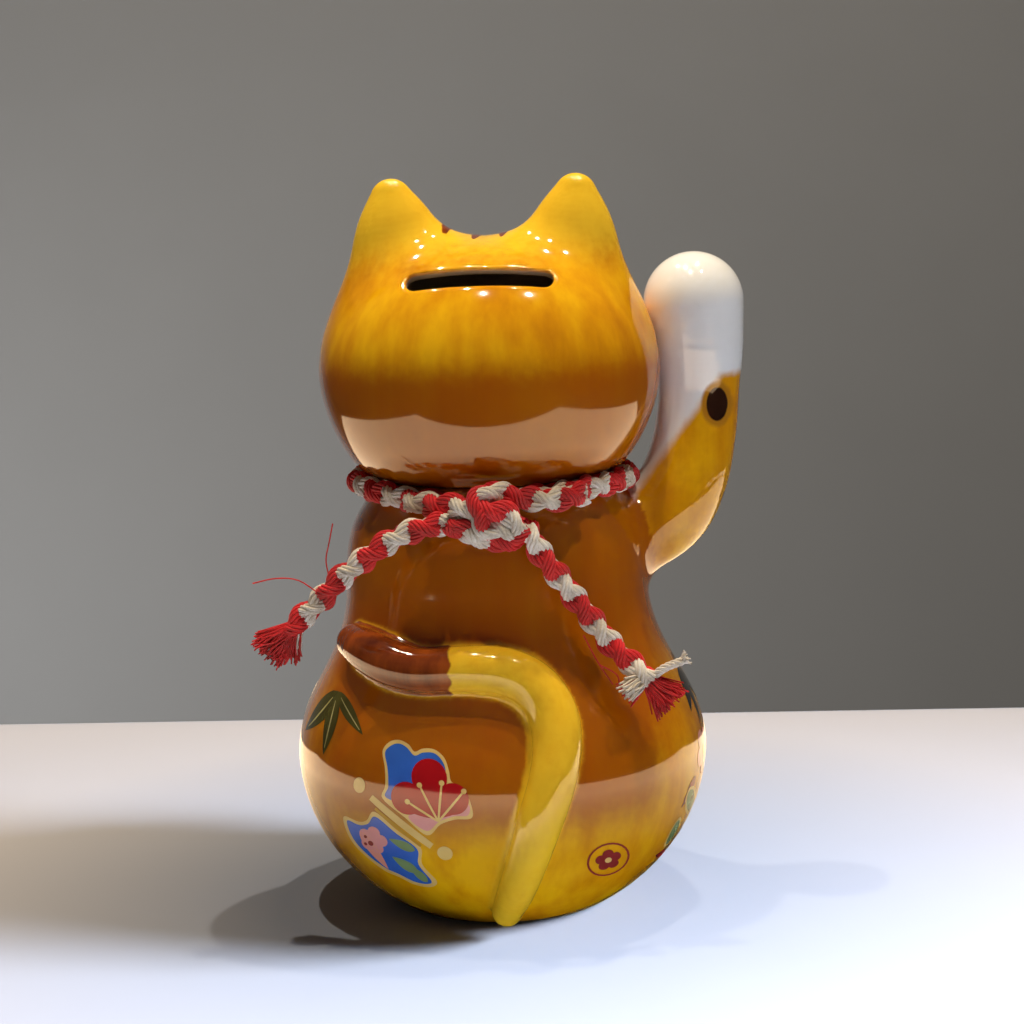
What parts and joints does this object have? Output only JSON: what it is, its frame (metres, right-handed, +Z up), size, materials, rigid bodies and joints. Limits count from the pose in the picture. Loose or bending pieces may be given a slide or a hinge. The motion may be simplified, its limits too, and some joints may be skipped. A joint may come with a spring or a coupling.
{
  "type": "cat figurine coin bank",
  "caption": "Standing beckoning cat coin bank in glazed ceramic, hollow, with a slot in the head, a base plug and a braided cord collar with a bell.",
  "frame": {"origin": "middle of the round foot, on the surface the cat stands on", "axes": "+Z up, -Y the way the cat faces, +X the cat's left side; the raised arm is the cat's right one, at -X"},
  "size_m": [0.1331, 0.1212, 0.2049],
  "materials": {
    "amber_glaze": "gloss",
    "white_glaze": "gloss",
    "red_cord": "matte",
    "plug_rubber": "matte",
    "bell_brass": "polished"
  },
  "bodies": {
    "figurine": {"torso_shell": "amber_glaze", "head_shell": "amber_glaze", "raised_arm": "white_glaze", "tail": "amber_glaze", "left_foreleg": "amber_glaze", "left_foot": "white_glaze", "right_foot": "white_glaze", "collar_cord": "red_cord", "collar_knot": "red_cord", "cord_end_left": "red_cord", "cord_end_right": "red_cord", "fray_left": "red_cord", "fray_right": "red_cord"},
    "bell": {"bell_top": "bell_brass", "bell_bottom": "bell_brass"},
    "pellet": {"bell_pellet": "bell_brass"},
    "plug": {"stopper": "plug_rubber"}
  },
  "joints": [
    {"name": "bell_swing", "type": "hinge", "parent": "figurine", "child": "bell", "pos_m": [0, -0.03748, 0.121], "axis": [-1, 0, 0], "range_deg": [0, 70]},
    {"name": "pellet_rattle", "type": "slide", "parent": "bell", "child": "pellet", "axis": [0, 0.6471, 0.7624], "range_m": [0, 0.0102]},
    {"name": "plug_pull", "type": "slide", "parent": "figurine", "child": "plug", "axis": [0, 0, -1], "range_m": [0, 0.012]}
  ]
}
